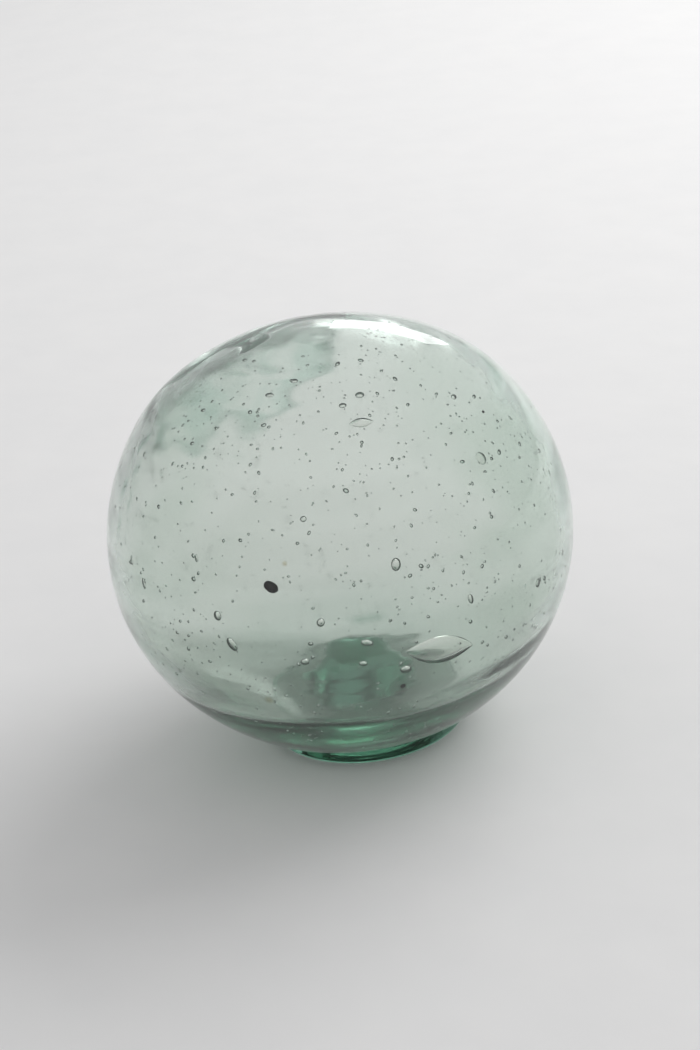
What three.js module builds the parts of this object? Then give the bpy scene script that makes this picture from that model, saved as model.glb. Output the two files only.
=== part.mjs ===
// A blown glass float ball standing on its seal button, in millimetres, +Z up.
// The origin is the middle of the seal button's flat underside, and -Y is the front.
import * as THREE from "three";

// Driving dimensions
const ballRadius = 45; // half the width of the ball
const crownHeight = 42; // from the middle of the ball up to its crown
const keelDepth = 42; // from the middle of the ball down to where its round underside would end
const shoulderFullness = 2.04; // above the middle: 2 is a true ellipse, and more is fuller
const keelFullness = 2; // and the same below the middle
const footDepth = 38.2; // from the middle of the ball down to the flat that the button is pressed on
const footBlend = 1.2; // how softly that flat runs into the round of the ball

const buttonRadius = 19.6;
const buttonHeight = 2.9; // at the rim, up to the crease where the button meets the ball
const buttonEdgeRadius = 1.1; // the rounded edge round the underside
const buttonOffset = [0.9, 0]; // the button was pressed on a little to one side of the ball's pole
const seamGap = 0.3; // between the button and the ball

const baseToMiddle = 40.8; // from the button's underside up to the middle of the ball

// The ball is hand blown, so it swells and flattens a little in these places.
// toward is the direction from the middle of the ball, height is how far the skin moves out,
// and spread is how wide the place is, as an angle in degrees.
const swells = [
  { toward: [-0.7, 0.3, 0.65], height: 0.55, spread: 16 },
  { toward: [0.62, 0.35, 0.7], height: 0.65, spread: 22 },
  { toward: [0.1, 0.7, 0.7], height: -0.3, spread: 30 },
  { toward: [-0.55, -0.3, -0.78], height: -0.3, spread: 26 },
];

// Fineness of the faceted solids
const ballSteps = { round: 72, down: 44 };
const buttonSteps = { round: 64, edge: 5, seat: 8 };

const degrees = THREE.MathUtils.degToRad;

// How far all swells together move the skin in one direction.
function swellToward(direction) {
  let moved = 0;
  for (const swell of swells) {
    const angle = direction.angleTo(new THREE.Vector3(...swell.toward));
    moved += swell.height * Math.exp(-((angle / degrees(swell.spread)) ** 2));
  }
  return moved;
}

// Distance from the middle of the ball to its skin in one direction (a unit vector).
function skinDistance(direction) {
  const across = Math.hypot(direction.x, direction.y) / ballRadius;
  const along = Math.abs(direction.z) / (direction.z > 0 ? crownHeight : keelDepth);
  const n = direction.z > 0 ? shoulderFullness : keelFullness;
  const round = (across ** n + along ** n) ** (-1 / n) + swellToward(direction);
  if (direction.z >= 0) return round;
  // The pressed flat under the ball, blended into the round by a smooth minimum.
  const flat = footDepth / Math.max(-direction.z, 0.5);
  const nearer = Math.min(round, flat);
  return nearer - footBlend * Math.log(1 + Math.exp(-Math.abs(round - flat) / footBlend));
}

// Height of the ball's skin above the button's underside, straight above a point near the pole.
function skinHeightAbove(x, y) {
  const direction = new THREE.Vector3(x, y, -footDepth).normalize();
  for (let pass = 0; pass < 6; pass++) {
    const depth = -direction.z * skinDistance(direction);
    direction.set(x, y, -depth).normalize();
  }
  return baseToMiddle + direction.z * skinDistance(direction);
}

function glassMaterial(colour) {
  return new THREE.MeshStandardMaterial({ color: colour, roughness: 0.05, metalness: 0 });
}

function floatBall() {
  const geometry = new THREE.SphereGeometry(1, ballSteps.round, ballSteps.down);
  geometry.rotateX(Math.PI / 2); // poles onto Z
  const points = geometry.getAttribute("position");
  const direction = new THREE.Vector3();
  for (let i = 0; i < points.count; i++) {
    direction.fromBufferAttribute(points, i).normalize();
    direction.multiplyScalar(skinDistance(direction));
    points.setXYZ(i, direction.x, direction.y, direction.z);
  }
  geometry.computeVertexNormals();
  const mesh = new THREE.Mesh(geometry, glassMaterial(0xb9cfc2));
  mesh.name = "float_ball";
  mesh.position.z = baseToMiddle;
  return mesh;
}

// The button is a flat disc with a rounded lower edge. Its top follows the underside of the ball.
function sealButton() {
  const profile = [new THREE.Vector2(0, 0)];
  for (let step = 0; step <= buttonSteps.edge; step++) {
    const turn = (step / buttonSteps.edge) * (Math.PI / 2);
    profile.push(
      new THREE.Vector2(
        buttonRadius - buttonEdgeRadius * (1 - Math.sin(turn)),
        buttonEdgeRadius * (1 - Math.cos(turn)),
      ),
    );
  }
  for (let step = 0; step <= buttonSteps.seat; step++) {
    profile.push(new THREE.Vector2(buttonRadius * (1 - step / buttonSteps.seat), buttonHeight));
  }
  const geometry = new THREE.LatheGeometry(profile, buttonSteps.round);
  geometry.rotateX(Math.PI / 2); // its axis onto Z
  const points = geometry.getAttribute("position");
  const [offsetX, offsetY] = buttonOffset;
  for (let i = 0; i < points.count; i++) {
    if (points.getZ(i) < buttonHeight - 1e-3) continue;
    const skin = skinHeightAbove(points.getX(i) + offsetX, points.getY(i) + offsetY);
    points.setZ(i, Math.min(skin - seamGap, buttonHeight));
  }
  geometry.computeVertexNormals();
  const mesh = new THREE.Mesh(geometry, glassMaterial(0x3f7a63));
  mesh.name = "seal_button";
  mesh.position.set(offsetX, offsetY, 0);
  return mesh;
}

const glassFloat = new THREE.Group();
glassFloat.add(floatBall(), sealButton());

export default glassFloat;
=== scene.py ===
import math
import random
import bpy
from mathutils import Matrix, Vector, noise


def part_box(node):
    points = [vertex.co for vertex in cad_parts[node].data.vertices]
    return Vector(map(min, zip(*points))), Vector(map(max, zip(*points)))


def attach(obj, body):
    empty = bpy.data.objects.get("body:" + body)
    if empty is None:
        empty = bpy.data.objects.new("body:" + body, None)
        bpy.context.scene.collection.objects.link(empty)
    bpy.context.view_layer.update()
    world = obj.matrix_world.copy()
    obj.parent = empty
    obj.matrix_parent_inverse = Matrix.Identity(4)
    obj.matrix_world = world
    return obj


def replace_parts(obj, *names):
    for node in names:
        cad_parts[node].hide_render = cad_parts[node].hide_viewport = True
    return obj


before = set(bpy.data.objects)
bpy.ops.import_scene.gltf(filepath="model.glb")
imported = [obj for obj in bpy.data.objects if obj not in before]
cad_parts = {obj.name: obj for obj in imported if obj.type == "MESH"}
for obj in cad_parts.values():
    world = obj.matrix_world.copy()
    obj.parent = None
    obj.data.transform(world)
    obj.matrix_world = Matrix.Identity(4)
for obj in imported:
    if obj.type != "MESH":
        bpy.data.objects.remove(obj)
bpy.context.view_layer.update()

# A blown glass float ball standing on its seal button, in metres. -Y is the front.
ballLow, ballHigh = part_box("float_ball")
buttonLow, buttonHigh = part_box("seal_button")

# The camera comes first.
shot = {
    "distance": 0.5,  # from the middle of the ball
    "elevation": 25,  # degrees above the table
    "roll": -7.6,  # degrees, the camera was held a little askew
    "lens": 88.6,  # mm
    "right": 0.0019,  # how far right of the ball's middle it points
    "up": 0.0014,  # and how far above it
}


def makeCamera(middle):
    tilt = math.radians(shot["elevation"])
    toCamera = Vector((0, -math.cos(tilt), math.sin(tilt)))
    turned = toCamera.to_track_quat("Z", "Y").to_matrix()
    turned = turned @ Matrix.Rotation(math.radians(shot["roll"]), 3, "Z")
    data = bpy.data.cameras.new("camera")
    data.lens = shot["lens"]
    data.clip_start, data.clip_end = 0.01, 20
    camera = bpy.data.objects.new("camera", data)
    aside = turned @ Vector((shot["right"], shot["up"], shot["distance"]))
    camera.matrix_world = Matrix.Translation(middle + aside) @ turned.to_4x4()
    bpy.context.scene.collection.objects.link(camera)
    bpy.context.scene.camera = camera


# Mesh helpers

class Shells:
    # closed skins gathered into one mesh
    def __init__(self):
        self.points, self.faces = [], []

    def add(self, top, rings, bottom, inward=False):
        # rings run from the top point to the bottom one, each anticlockwise seen from the top
        first, wide = len(self.points), len(rings[0])
        self.points.append(top)
        for ring in rings:
            self.points.extend(ring)
        self.points.append(bottom)
        last = len(self.points) - 1
        found = []
        for i in range(wide):
            j = (i + 1) % wide
            found.append((first, first + 1 + i, first + 1 + j))
            for k in range(len(rings) - 1):
                upper = first + 1 + k * wide
                lower = upper + wide
                found.append((upper + i, lower + i, lower + j, upper + j))
            final = last - wide
            found.append((last, final + j, final + i))
        if inward:
            found = [face[::-1] for face in found]
        self.faces.extend(found)

    def piece(self, name, material, crease=50):
        mesh = bpy.data.meshes.new(name)
        mesh.from_pydata([tuple(p) for p in self.points], [], self.faces)
        mesh.polygons.foreach_set("use_smooth", [True] * len(mesh.polygons))
        mesh.set_sharp_from_angle(angle=math.radians(crease))
        mesh.materials.append(material)
        mesh.update()
        made = bpy.data.objects.new(name, mesh)
        bpy.context.scene.collection.objects.link(made)
        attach(made, "root")
        print(name, len(mesh.polygons), "faces")
        return made


def toward(longitude, latitude):
    # 0, 0 is the front of the ball at half height, and longitude grows to the right
    lon, lat = math.radians(longitude), math.radians(latitude)
    return Vector((math.sin(lon) * math.cos(lat), -math.cos(lon) * math.cos(lat), math.sin(lat)))


def ease(start, end, value):
    t = min(max((value - start) / (end - start), 0), 1)
    return t * t * (3 - 2 * t)


def onSkin(centre, turn):
    # two directions along the skin: turn is anticlockwise from level, in degrees, seen from outside
    level = Vector((0, 0, 1)).cross(centre).normalized()
    rise = centre.cross(level)
    along = level * math.cos(math.radians(turn)) + rise * math.sin(math.radians(turn))
    return along, centre.cross(along)


# The ball
ball = {
    "radius": 0.045,  # half its width
    "crownHeight": 0.042,  # from the middle up to the crown
    "keelDepth": 0.042,  # from the middle down to where the round underside would end
    "shoulderFullness": 2.04,  # above the middle: 2 is a true ellipse, and more is fuller
    "keelFullness": 2,  # and the same below the middle
    "footDepth": 0.0382,  # from the middle down to the flat that the button is pressed on
    "footBlend": 0.0012,  # how softly that flat runs into the round
    "swells": [  # where the skin stands out or in, with spread in degrees
        {"toward": (-0.7, 0.3, 0.65), "height": 0.00055, "spread": 16},
        {"toward": (0.62, 0.35, 0.7), "height": 0.00065, "spread": 22},
        {"toward": (0.1, 0.7, 0.7), "height": -0.0003, "spread": 30},
        {"toward": (-0.55, -0.3, -0.78), "height": -0.0003, "spread": 26},
    ],
    "sideWall": 0.0026,  # thickness of the glass at the sides and crown
    "keelWall": 0.0064,  # and round the seal
    "keelFrom": -0.45,  # where it starts to thicken, as a share of the way down
    "thickPlaces": [  # where more glass gathered, by longitude and latitude, with spread in degrees
        {"at": (82, 36), "more": 0.001, "spread": 38},
    ],
    "fold": {  # a thick patch behind the left shoulder, where the glass lapped over itself
        "at": (-147, 43),
        "more": 0.0018,
        "spread": 28,
        "edge": 5,  # how softly it ends, in degrees
        "wander": 12,  # how far its edge strays, in degrees
        "rumple": 0.0009,  # height of the laps
    },
    "waves": 0.00022,  # height of the long swells inside
    "ridges": 0.0002,  # height of the level ripples inside
    "holeRadius": 0.0085,  # the blowing hole that the button closes
    "columns": 240,
    "outerRows": 96,
    "innerRows": 140,
}
middle = Vector((0, 0, ballHigh.z - ball["crownHeight"]))


def skinDistance(direction):
    across = math.hypot(direction.x, direction.y) / ball["radius"]
    along = abs(direction.z) / (ball["crownHeight"] if direction.z > 0 else ball["keelDepth"])
    n = ball["shoulderFullness"] if direction.z > 0 else ball["keelFullness"]
    distance = (across**n + along**n) ** (-1 / n)
    for swell in ball["swells"]:
        angle = math.degrees(direction.angle(Vector(swell["toward"])))
        distance += swell["height"] * math.exp(-((angle / swell["spread"]) ** 2))
    if direction.z >= 0:
        return distance
    flat = ball["footDepth"] / max(-direction.z, 0.5)
    blend = ball["footBlend"]
    return min(distance, flat) - blend * math.log(1 + math.exp(-abs(distance - flat) / blend))


def inFold(direction):
    # 1 in the fold and 0 outside it, with a wandering edge
    fold = ball["fold"]
    angle = math.degrees(direction.angle(toward(*fold["at"])))
    angle += fold["wander"] * noise.noise(direction * 4.5 + Vector((5, 2, 8)))
    return ease(fold["spread"] + fold["edge"], fold["spread"] - fold["edge"], angle)


def wallToward(direction):
    # thickness of the glass, measured towards the middle
    low = ease(ball["keelFrom"], -0.96, direction.z)  # 1 round the seal
    wall = ball["sideWall"] + (ball["keelWall"] - ball["sideWall"]) * low
    for place in ball["thickPlaces"]:
        angle = math.degrees(direction.angle(toward(*place["at"])))
        wall += place["more"] * math.exp(-((angle / place["spread"]) ** 2))
    fold = ball["fold"]
    laps = Vector((direction.x * 5, direction.y * 5, direction.z * 15))
    wall += inFold(direction) * (fold["more"] + fold["rumple"] * noise.noise(laps))
    level = Vector((direction.x * 1.4, direction.y * 1.4, 8 * math.acos(direction.z)))
    uneven = ball["waves"] * noise.noise(direction * 2.3 + Vector((3, 1, 7)))
    uneven += ball["ridges"] * noise.noise(level)
    return wall + uneven * (1 - 0.75 * low)


def inWall(direction, share):
    # share 0 is the outer skin and 1 the skin of the hollow
    return middle + direction * (skinDistance(direction) - share * wallToward(direction))


def heightOver(x, y, share):
    # height of that skin over a point near the seal
    direction = Vector((x, y, -ball["footDepth"])).normalized()
    for _ in range(6):
        depth = -(inWall(direction, share) - middle).z
        direction = Vector((x, y, -depth)).normalized()
    return inWall(direction, share).z


def polarRing(polar, share, columns):
    ring = []
    flat = math.sin(polar)
    for i in range(columns):
        lon = 2 * math.pi * i / columns
        direction = Vector((flat * math.sin(lon), -flat * math.cos(lon), math.cos(polar)))
        ring.append(inWall(direction, share))
    return ring


def polarRings(stop, share, rows, columns):
    return [polarRing(stop * row / rows, share, columns) for row in range(1, rows + 1)]


# Long hollows blown into the wall. They lie by longitude and latitude in degrees; long and wide
# are their whole size in millimetres, and turn is anticlockwise from level, in degrees.
blisters = [
    {"at": (20.5, -8.5), "long": 14.2, "wide": 6.0, "turn": -13, "pointed": True, "deep": 0.9},
    {"at": (14, 51), "long": 4.8, "wide": 2.1, "turn": -6, "pointed": True, "deep": 0.5},
    {"at": (12.5, 15.5), "long": 2.4, "wide": 1.8, "turn": 80},
    {"at": (-29.5, -1.5), "long": 2.9, "wide": 1.8, "turn": 118},
    {"at": (-32.5, 5.5), "long": 1.9, "wide": 1.6, "turn": 100},
    {"at": (-7, 4.5), "long": 1.7, "wide": 1.5, "turn": 60},
    {"at": (47, 31.5), "long": 2.5, "wide": 2.4, "turn": 70, "deep": 0.35},
    {"at": (-9, 29), "long": 1.2, "wide": 1.1, "turn": 0},
    {"at": (11.5, -11.5), "long": 2.2, "wide": 1.7, "turn": -10},
    {"at": (3, -2), "long": 2.3, "wide": 1.4, "turn": -20},
    {"at": (1.5, -7.5), "long": 1.6, "wide": 1.1, "turn": -15},
    {"at": (-12, -5.5), "long": 1.7, "wide": 1.4, "turn": 10},
    {"at": (9, 57), "long": 1.5, "wide": 1.2, "turn": 0},
    {"at": (18.5, 59), "long": 1.8, "wide": 1.5, "turn": 0},
    {"at": (-16, 67), "long": 1.5, "wide": 1.2, "turn": 0},
    {"at": (-28, 62), "long": 1.8, "wide": 1.1, "turn": 0},
    {"at": (56, 47.5), "long": 1.5, "wide": 1.1, "turn": 10},
    {"at": (-38.5, 18.5), "long": 1.4, "wide": 0.8, "turn": 105},
    {"at": (29.5, 2), "long": 2.0, "wide": 1.1, "turn": 100},
    {"at": (52, -3.5), "long": 1.8, "wide": 1.5, "turn": 90},
    {"at": (-57, 8), "long": 2.1, "wide": 1.1, "turn": 110},
    {"at": (-63, 12), "long": 1.8, "wide": 1.0, "turn": 110},
    {"at": (-120, 13), "long": 8.0, "wide": 1.4, "turn": 80, "pointed": True},
    {"at": (-115, 20), "long": 5.5, "wide": 1.1, "turn": 76, "pointed": True},
    {"at": (-126, 9), "long": 4.5, "wide": 1.1, "turn": 84, "pointed": True},
    {"at": (-113, 3), "long": 3.0, "wide": 1.0, "turn": 90, "pointed": True},
    {"at": (-119, -2), "long": 2.6, "wide": 0.9, "turn": 88, "pointed": True},
]
blisterDepth = 0.45  # how deep in the wall they lie: 0 is the outer skin, 1 the hollow's


def addBlister(shells, blister):
    centre = toward(*blister["at"])
    along, across = onSkin(centre, blister["turn"])
    halfLong, halfWide = blister["long"] / 2000, blister["wide"] / 2000
    halfDeep = min(halfWide * 0.55, blister.get("deep", 1) / 2000)
    steps, sides = 22, 24
    sharp = blister.get("pointed", False)

    def point(s, turn, width):
        x = s * halfLong
        y = width * halfWide * math.cos(turn)
        out = width * halfDeep * math.sin(turn)
        direction = (centre + (along * x + across * y) / ball["radius"]).normalized()
        return inWall(direction, blisterDepth) + direction * out

    rings = []
    for step in range(1, steps):
        s = math.cos(math.pi * step / steps)
        width = (1 - s * s) if sharp else math.sqrt(1 - s * s)
        rings.append([point(s, 2 * math.pi * i / sides, width) for i in range(sides)])
    shells.add(point(1, 0, 0), rings, point(-1, 0, 0), inward=True)


def patchy(place, least, most):
    # soft clouds about 1 across; below least there is nothing and above most the full cloud
    found = noise.noise(place) + noise.noise(place * 2) / 2 + noise.noise(place * 4) / 4
    return ease(least, most, found)


# Dull green marks in the outer skin, laid out as the blisters are. dark is their strength, 0 to 1.
marks = [
    {"at": (-78, 38), "long": 5.5, "wide": 2.6, "turn": 82, "dark": 0.9},
    {"at": (-73, 32), "long": 4.5, "wide": 2.2, "turn": 78, "dark": 0.7},
    {"at": (-76, 26), "long": 5.0, "wide": 2.4, "turn": 86, "dark": 0.9},
    {"at": (-69, 24), "long": 3.5, "wide": 2.0, "turn": 84, "dark": 0.6},
    {"at": (-72, 18), "long": 4.0, "wide": 2.2, "turn": 90, "dark": 0.7},
    {"at": (4, 4.5), "long": 7.5, "wide": 1.8, "turn": -2, "dark": 0.75},
    {"at": (-17, -2), "long": 22, "wide": 12, "turn": -8, "dark": 0.22},
    {"at": (7, 2), "long": 17, "wide": 8, "turn": 4, "dark": 0.18},
    {"at": (-46, 6), "long": 16, "wide": 9, "turn": 30, "dark": 0.15},
]


def markAt(direction):
    found = 0
    for mark in marks:
        centre = toward(*mark["at"])
        if direction.dot(centre) < 0.8:
            continue
        along, across = onSkin(centre, mark["turn"])
        away = (direction - centre) * ball["radius"] * 2000
        share = math.hypot(away.dot(along) / mark["long"], away.dot(across) / mark["wide"])
        share += 0.25 * noise.noise(direction * 30)
        found = max(found, mark["dark"] * ease(1.25, 0.4, share))
    return found


# Soft clouds in the glass's tone, kept off the middle so that they paint shade towards the ball's left
# and right sides.
clouds = {
    "size": 34,  # clouds per metre, each flattened by the next value
    "flatten": 2.2,
    "from": 0.008,  # they begin this far to the side of the middle
    "full": 0.036,  # and are at their strongest from here on
    "mottling": 110,  # patches per metre in the fold
}


def paintBall(mesh):
    # what the material reads at each point: inside is 1 on the hollow's skin, the rest are shares
    count = len(mesh.vertices)
    made = {name: [0.0] * count for name in ("inside", "folded", "mottled", "clouded", "marked")}
    start = 1 + ball["columns"] * ball["outerRows"]
    hollow = range(start, start + ball["columns"] * ball["innerRows"])
    for vertex in mesh.vertices:
        index, place = vertex.index, vertex.co
        direction = (place - middle).normalized()
        level = Vector((place.x, place.y, place.z * clouds["flatten"]))
        # painted shade: the clouds darken only the sides, left and right of the middle
        aside = ease(clouds["from"], clouds["full"], abs(place.x))
        made["clouded"][index] = patchy(level * clouds["size"], -0.5, 0.6) * aside
        if index < start:
            made["marked"][index] = markAt(direction)
        if index in hollow:
            folded = inFold(direction)
            made["inside"][index] = 1
            made["folded"][index] = folded
            made["mottled"][index] = folded * patchy(place * clouds["mottling"], -0.3, 0.35)
    for name, values in made.items():
        mesh.attributes.new(name, "FLOAT", "POINT").data.foreach_set("value", values)


def makeBall(material):
    columns = ball["columns"]
    outerEdge = math.atan2(ball["holeRadius"], ball["footDepth"])
    innerEdge = math.atan2(ball["holeRadius"], ball["footDepth"] - ball["keelWall"])
    outer = polarRings(math.pi - outerEdge, 0, ball["outerRows"], columns)
    inner = polarRings(math.pi - innerEdge, 1, ball["innerRows"], columns)
    shells = Shells()
    up = Vector((0, 0, 1))
    shells.add(inWall(up, 0), outer + inner[::-1], inWall(up, 1))
    for blister in blisters:
        addBlister(shells, blister)
    made = shells.piece("float_ball_glass", material)
    paintBall(made.data)
    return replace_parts(made, "float_ball")


# The seal button: a disc under the ball, a neck through the blowing hole and a lump inside
button = {
    "radius": (buttonHigh.x - buttonLow.x) / 2,
    "height": buttonHigh.z,  # up to the crease where it meets the ball
    "edge": 0.0011,  # the rounded edge round its underside
    "sink": 0.00015,  # how far its skin reaches into the ball's glass, so that the two are one
    "lumpRadius": 0.0098,
    "lumpHeight": 0.0088,
    "lumpLean": -0.001,  # how far its top stands to the right
    "lumpTwist": 5,  # how far its lobes turn on their way down, in radians
    "lobes": 0.07,  # how far they stand out, as a share of its radius
    "unevenness": 0.16,  # of its height
    "lumpRoughness": 0.16,  # of its skin
    "tongue": {"longitude": 262, "more": 0.3, "spread": 22},
    "columns": 144,
}
buttonMiddle = Vector(((buttonHigh.x + buttonLow.x) / 2, (buttonHigh.y + buttonLow.y) / 2, 0))


def makeButton(material):
    columns, sink = button["columns"], button["sink"]

    def ring(radius, height):
        points = []
        for i in range(columns):
            lon = 2 * math.pi * i / columns
            wide = radius(lon) if callable(radius) else radius
            place = buttonMiddle + Vector((wide * math.sin(lon), -wide * math.cos(lon), 0))
            place.z = height(place, lon) if callable(height) else height
            points.append(place)
        return points

    def lumpPoint(lon, down):
        # a leaning mound of twisted lobes, with a tongue that ran out to the left
        tongue = button["tongue"]
        left = math.degrees(lon) - tongue["longitude"]
        lobe = math.sin(3 * lon + button["lumpTwist"] * down)
        wide = 1 + button["lobes"] * lobe * down + 0.03 * math.sin(5 * lon + 1)
        wide += tongue["more"] * down * math.exp(-((left / tongue["spread"]) ** 2))
        wide *= button["lumpRadius"] * down
        high = (1 - down**2.2) ** 1.3
        place = buttonMiddle + Vector((wide * math.sin(lon), -wide * math.cos(lon), 0))
        place.x += button["lumpLean"] * high
        rough = 1 + button["unevenness"] * noise.noise(place * 170 + Vector((4, 4, 1)))
        place.z = heightOver(place.x, place.y, 1) - sink + button["lumpHeight"] * high * rough
        return place

    lumpSteps = 30
    rings = []
    for step in range(1, lumpSteps + 1):
        turns = [2 * math.pi * i / columns for i in range(columns)]
        rings.append([lumpPoint(lon, step / lumpSteps) for lon in turns])
    neck = ball["holeRadius"] + sink
    rings.append(ring(neck, lambda p, lon: heightOver(p.x, p.y, 1) - 3 * sink))
    rings.append(ring(neck, lambda p, lon: heightOver(p.x, p.y, 0) + sink))
    discSteps = 12
    for step in range(1, discSteps + 1):
        wide = neck + (button["radius"] - neck) * step / discSteps
        rings.append(ring(wide, lambda p, lon: min(heightOver(p.x, p.y, 0) + sink, button["height"])))
    edgeSteps = 6
    for step in range(edgeSteps, -1, -1):
        turn = step / edgeSteps * math.pi / 2
        wide = button["radius"] - button["edge"] * (1 - math.sin(turn))
        rings.append(ring(wide, button["edge"] * (1 - math.cos(turn))))
    for wide in (0.6, 0.3):
        rings.append(ring(button["radius"] * wide, 0))
    shells = Shells()
    shells.add(lumpPoint(0, 0), rings, buttonMiddle.copy())
    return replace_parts(shells.piece("seal_button_glass", material), "seal_button")


# Seed bubbles, the tiny round hollows all through the wall
seeds = {
    "count": 2600,
    "pick": 5,
    "sizes": [  # least and most radius, and how many of each hundred
        (0.00008, 0.00014, 50),
        (0.00014, 0.00021, 33),
        (0.00021, 0.0003, 13),
        (0.0003, 0.00044, 4),
    ],
    "lowest": -0.86,  # none lie below this, as a share of the way down
    "crowding": 0.9,  # how much they gather in clouds
    "behind": 0.6,  # how many of them the back has, against the front
}


def makeSeeds(material):
    draw = random.Random(seeds["pick"])
    shells = Shells()
    made = 0
    while made < seeds["count"]:
        z = draw.uniform(seeds["lowest"], 0.995)
        lon = draw.uniform(0, 2 * math.pi)
        flat = math.sqrt(1 - z * z)
        centre = Vector((flat * math.sin(lon), -flat * math.cos(lon), z))
        least, most, _ = draw.choices(seeds["sizes"], [s[2] for s in seeds["sizes"]])[0]
        radius = draw.uniform(least, most)
        stretch, turn = draw.uniform(1, 1.5), draw.uniform(0, 180)
        share = draw.uniform(0.25, 0.75)
        crowd = 0.75 + seeds["crowding"] * noise.noise(centre * 3.2)
        if draw.random() > (crowd if centre.y < 0 else crowd * seeds["behind"]):
            continue
        made += 1
        along, across = onSkin(centre, turn)
        place = inWall(centre, share)
        steps, sides = (4, 6) if radius < 0.00014 else (6, 9)
        rings = []
        for step in range(1, steps):
            polar = math.pi * step / steps
            rings.append([])
            for i in range(sides):
                spin = 2 * math.pi * i / sides
                spot = along * math.cos(polar) * stretch
                spot = spot + (across * math.cos(spin) + centre * math.sin(spin)) * math.sin(polar)
                rings[-1].append(place + spot * radius)
        end = along * radius * stretch
        shells.add(place + end, rings, place - end, inward=True)
    return shells.piece("seed_bubbles", material, crease=180)


# Black stones: bits that never melted, shut in the wall
stones = [
    {"at": (-18, 13.5), "long": 2.8, "wide": 2.0, "turn": -28},
    {"at": (10.5, -16.5), "long": 1.1, "wide": 0.9, "turn": 30},
    {"at": (61, 40), "long": 0.7, "wide": 0.6, "turn": 0},
]


def makeStones(material):
    shells = Shells()
    for stone in stones:
        centre = toward(*stone["at"])
        along, across = onSkin(centre, stone["turn"])
        place = inWall(centre, 0.4)
        steps, sides = 14, 20
        half = (stone["long"] / 2000, stone["wide"] / 2000, stone["wide"] / 4000)

        def point(polar, turn):
            flat = math.sin(polar)
            spot = Vector((math.cos(polar), flat * math.cos(turn), flat * math.sin(turn)))
            rough = 1 + 0.08 * noise.noise(spot * 1.7 + place * 900)
            spot = along * spot.x * half[0] + across * spot.y * half[1] + centre * spot.z * half[2]
            return place + spot * rough

        rings = [
            [point(math.pi * step / steps, 2 * math.pi * i / sides) for i in range(sides)]
            for step in range(1, steps)
        ]
        shells.add(point(0, 0), rings, point(math.pi, 0))
    return shells.piece("black_stones", material)


# Materials

class Wire:
    # a node's output; sums written with it add Math nodes
    def __init__(self, nodes, socket):
        self.nodes, self.socket = nodes, socket

    def maths(self, operation, *values):
        return self.nodes.add("ShaderNodeMath", {"operation": operation}, dict(enumerate(values)))

    def __add__(self, other):
        return self.maths("ADD", self, other)

    def __sub__(self, other):
        return self.maths("SUBTRACT", self, other)

    def __rsub__(self, other):
        return self.maths("SUBTRACT", other, self)

    def __mul__(self, other):
        return self.maths("MULTIPLY", self, other)

    __radd__, __rmul__ = __add__, __mul__


class Nodes:
    def __init__(self, owner, output="Material", place="Object"):
        owner.use_nodes = True
        self.owner, self.tree = owner, owner.node_tree
        self.tree.nodes.clear()
        self.output = self.tree.nodes.new("ShaderNodeOutput" + output)
        self.place = self.add("ShaderNodeTexCoord", output=place)

    def add(self, kind, settings=None, values=None, output=0):
        node = self.tree.nodes.new(kind)
        for key, value in (settings or {}).items():
            if key == "stops":
                ramp = node.color_ramp.elements
                while len(ramp) < len(value):
                    ramp.new(0.5)
                for stop, (position, colour) in zip(ramp, value):
                    stop.position, stop.color = position, colour
            else:
                setattr(node, key, value)
        for key, value in (values or {}).items():
            if isinstance(value, Wire):
                self.tree.links.new(value.socket, node.inputs[key])
            else:
                node.inputs[key].default_value = value
        return Wire(self, node.outputs[output])

    def noise(self, scale, detail=2, place=None):
        found = {"Vector": place or self.place, "Scale": scale, "Detail": detail}
        return self.add("ShaderNodeTexNoise", None, found)

    def stretched(self, scale):
        return self.add("ShaderNodeMapping", None, {"Vector": self.place, "Scale": scale})

    def attribute(self, name):
        return self.add("ShaderNodeAttribute", {"attribute_name": name}, output="Fac")

    def away(self, point):
        # distance from a point of the part
        return self.add("ShaderNodeVectorMath", {"operation": "DISTANCE"},
                        {0: self.place, 1: point}, output="Value")

    def ramp(self, value, low, high):
        return self.add("ShaderNodeMapRange", {"interpolation_type": "SMOOTHSTEP"},
                        {"Value": value, "From Min": low, "From Max": high})

    def mix(self, factor, first, second):
        values = {0: factor, 6: first, 7: second}
        return self.add("ShaderNodeMix", {"data_type": "RGBA"}, values, output=2)

    def bump(self, height, strength, distance):
        values = {"Height": height, "Strength": strength, "Distance": distance}
        return self.add("ShaderNodeBump", None, values)

    def surface(self, values, kind="ShaderNodeBsdfPrincipled"):
        shader = self.add(kind, None, values)
        self.tree.links.new(shader.socket, self.output.inputs["Surface"])

    def absorb(self, colour, density):
        made = self.add("ShaderNodeVolumeAbsorption", None, {"Color": colour, "Density": density})
        self.tree.links.new(made.socket, self.output.inputs["Volume"])


glass = {
    "ior": 1.52,
    "clearness": 0.965,  # the sea has etched its skin a little
    "innerRoughness": 0.11,  # the hollow's skin, so that the far wall is soft
    "colour": (0.28, 0.6, 0.46, 1),  # what the glass lets through
    "density": 46,  # per metre
    "cloudShadeTint": (0.83, 0.88, 0.83, 1),  # painted shade, darker towards the ball's sides and bottom, in soft clouds
    "foldCloud": (0.62, 0.8, 0.73, 1),  # the mottling in the fold
    "foldEdgeShade": (0.4, 0.53, 0.47, 1),  # and the painted shade round it, a dark line along its edge
    "mark": (0.36, 0.52, 0.44, 1),  # the dull green marks
    "stain": (0.62, 0.5, 0.3, 1),
    "stains": [  # ochre specks, by longitude and latitude, with their radius in millimetres
        {"at": (-23, -17), "size": 0.8},
        {"at": (-18, -33), "size": 0.9},
        {"at": (-14, 19), "size": 0.5},
    ],
    "buttonColour": (0.37, 0.69, 0.57, 1),
    "buttonDensity": 72,  # per metre
}


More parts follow.
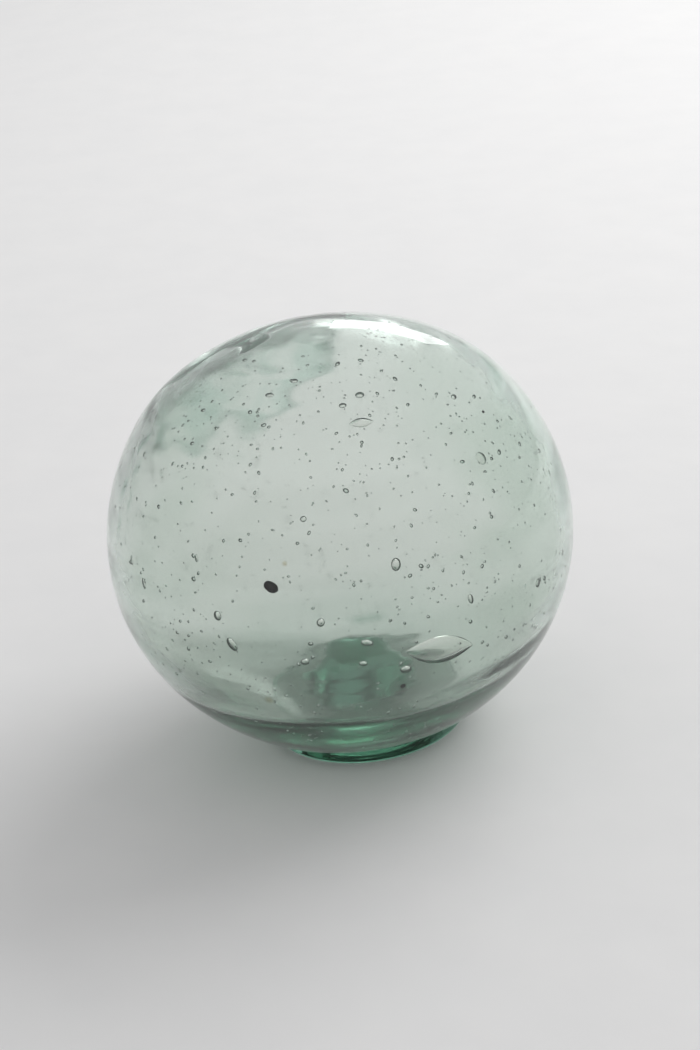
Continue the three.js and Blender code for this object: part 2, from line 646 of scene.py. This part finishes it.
def floatGlass():
    nodes = Nodes(bpy.data.materials.new("sea green blown glass"))
    height = nodes.add("ShaderNodeSeparateXYZ", None, {0: nodes.place}, output=2)
    streaks = nodes.noise(60, 2, nodes.stretched((1, 1, 3.5)))
    ripple = nodes.noise(190, 1)
    clear = nodes.ramp(height, 0.009, 0.016)  # the glass round the seal is smooth
    inside, folded = nodes.attribute("inside"), nodes.attribute("folded")
    clouded, mottled = nodes.attribute("clouded"), nodes.attribute("mottled")
    # painted shade: the glass is tinted darker towards the bottom, and towards the sides by the clouds
    low = nodes.ramp(height, 0.05, 0.018)
    tint = nodes.mix(clouded * 0.7 + low * 0.25, (1, 1, 0.985, 1), glass["cloudShadeTint"])
    tint = nodes.mix(nodes.attribute("marked"), tint, glass["mark"])
    tint = nodes.mix(mottled, tint, glass["foldCloud"])
    # painted shade: a dark line along the fold's edge
    tint = nodes.mix(folded * (1 - folded) * 3.6, tint, glass["foldEdgeShade"])
    for stain in glass["stains"]:
        size = stain["size"] / 1000
        away = nodes.away(inWall(toward(*stain["at"]), 0))
        speck = nodes.ramp(away + ripple * size * 1.5, size * 2, size * 0.8)
        tint = nodes.mix(speck * 0.8, tint, glass["stain"])
    nodes.surface({
        "Base Color": tint,
        "Roughness": (inside * glass["innerRoughness"] + clouded * 0.015) * clear,
        "IOR": glass["ior"],
        "Transmission Weight": glass["clearness"],
        "Normal": nodes.bump((streaks + ripple * 0.3) * clear, 0.17, 0.0006),
    })
    nodes.absorb(glass["colour"], glass["density"])
    return nodes.owner


def buttonGlass():
    nodes = Nodes(bpy.data.materials.new("deep green button glass"))
    ripple = nodes.noise(160, 3)
    floor = buttonHigh.z + ball["keelWall"]
    height = nodes.add("ShaderNodeSeparateXYZ", None, {0: nodes.place}, output=2)
    inside = nodes.ramp(height, floor - 0.001, floor + 0.0005)
    nodes.surface({
        "Base Color": nodes.mix(ripple, (1, 1, 1, 1), (0.94, 0.98, 0.96, 1)),
        "Roughness": inside * button["lumpRoughness"],
        "IOR": glass["ior"],
        "Transmission Weight": 1,
        "Normal": nodes.bump(ripple * inside, 0.2, 0.0008),
    })
    nodes.absorb(glass["buttonColour"], glass["buttonDensity"])
    return nodes.owner


def bubbleGlass():
    nodes = Nodes(bpy.data.materials.new("skin of the seed bubbles"))
    nodes.surface({
        "Base Color": nodes.mix(nodes.noise(400, 1), (1, 1, 1, 1), (0.9, 0.95, 0.92, 1)),
        "Roughness": 0,
        "IOR": glass["ior"],
        "Transmission Weight": 1,
    })
    return nodes.owner


def blackStone():
    nodes = Nodes(bpy.data.materials.new("unmelted black stone"))
    grain = nodes.noise(1500, 4)
    nodes.surface({
        "Base Color": nodes.mix(grain, (0.004, 0.004, 0.004, 1), (0.02, 0.022, 0.02, 1)),
        "Roughness": 0.4 + grain * 0.4,
        "Normal": nodes.bump(grain, 0.4, 0.0001),
    })
    return nodes.owner


def paleFloor():
    nodes = Nodes(bpy.data.materials.new("pale painted table"))
    relief = nodes.noise(55, 2)
    nodes.surface({
        "Base Color": nodes.mix(relief, (0.80, 0.80, 0.80, 1), (0.84, 0.835, 0.83, 1)),
        "Roughness": 0.75,
        "Specular IOR Level": 0.2,
        "Normal": nodes.bump(relief, 0.12, 0.002),
    })
    return nodes.owner


# The set: a pale table and soft light from behind and the right
studio = {
    "tableSize": 6,
    "tableGap": 0.0001,  # the button stands clear of the table, but for its rim
    "panel": {"size": (0.9, 0.6), "at": (0.62, 0.5, 0.6), "power": 5.4, "mirrored": False},
    "window": {"size": (0.55, 0.3), "at": (0.34, 1.5, 0.5), "power": 1.2, "mirrored": True},
    "front": (0.3, 0.3, 0.3, 1),  # the room on the camera's side
    "back": (0.74, 0.74, 0.745, 1),  # the brighter side
    "bright": (0.55, 0.6, 0.55),  # which way the brighter side is
}


def makeStudio():
    half = studio["tableSize"] / 2
    sides = ((-1, -1), (1, -1), (1, 1), (-1, 1))
    corners = [(x * half, y * half, -studio["tableGap"]) for x, y in sides]
    top = bpy.data.meshes.new("table_top")
    top.from_pydata(corners, [], [(0, 1, 2, 3)])
    top.materials.append(paleFloor())
    table = bpy.data.objects.new("table_top", top)
    bpy.context.scene.collection.objects.link(table)

    for name in ("panel", "window"):
        values = studio[name]
        light = bpy.data.lights.new(name, "AREA")
        light.shape = "RECTANGLE"
        light.size, light.size_y = values["size"]
        light.energy = values["power"]
        lamp = bpy.data.objects.new(name, light)
        lamp.location = values["at"]
        lamp.rotation_euler = (lamp.location - middle).to_track_quat("Z", "Y").to_euler()
        lamp.visible_glossy = lamp.visible_transmission = values["mirrored"]
        bpy.context.scene.collection.objects.link(lamp)

    room = bpy.data.worlds.new("room")
    nodes = Nodes(room, "World", "Generated")
    facing = nodes.add("ShaderNodeVectorMath", {"operation": "DOT_PRODUCT"},
                       {0: nodes.place, 1: studio["bright"]}, output="Value")
    share = nodes.add("ShaderNodeMapRange", None, {"Value": facing, "From Min": -0.7, "From Max": 0.9})
    colour = nodes.mix(share, studio["front"], studio["back"])
    nodes.surface({"Color": colour}, "ShaderNodeBackground")
    room.cycles.sampling_method = "NONE"  # it is smooth enough to do without, and renders sooner
    bpy.context.scene.world = room


def setLook():
    scene = bpy.context.scene
    scene.view_settings.view_transform = "Standard"
    scene.cycles.use_denoising = True
    scene.cycles.max_bounces = 24
    scene.cycles.transmission_bounces = 22
    scene.cycles.glossy_bounces = 8
    scene.cycles.diffuse_bounces = 1
    scene.cycles.use_light_tree = False
    scene.cycles.blur_glossy = 0.3  # at 1 the table's light through the glass comes out dark


makeCamera(middle)
makeStudio()
setLook()
print("camera, table and light are set")
clearGlass = floatGlass()
makeBall(clearGlass)
makeButton(buttonGlass())
makeSeeds(bubbleGlass())
makeStones(blackStone())
print("glass is made")
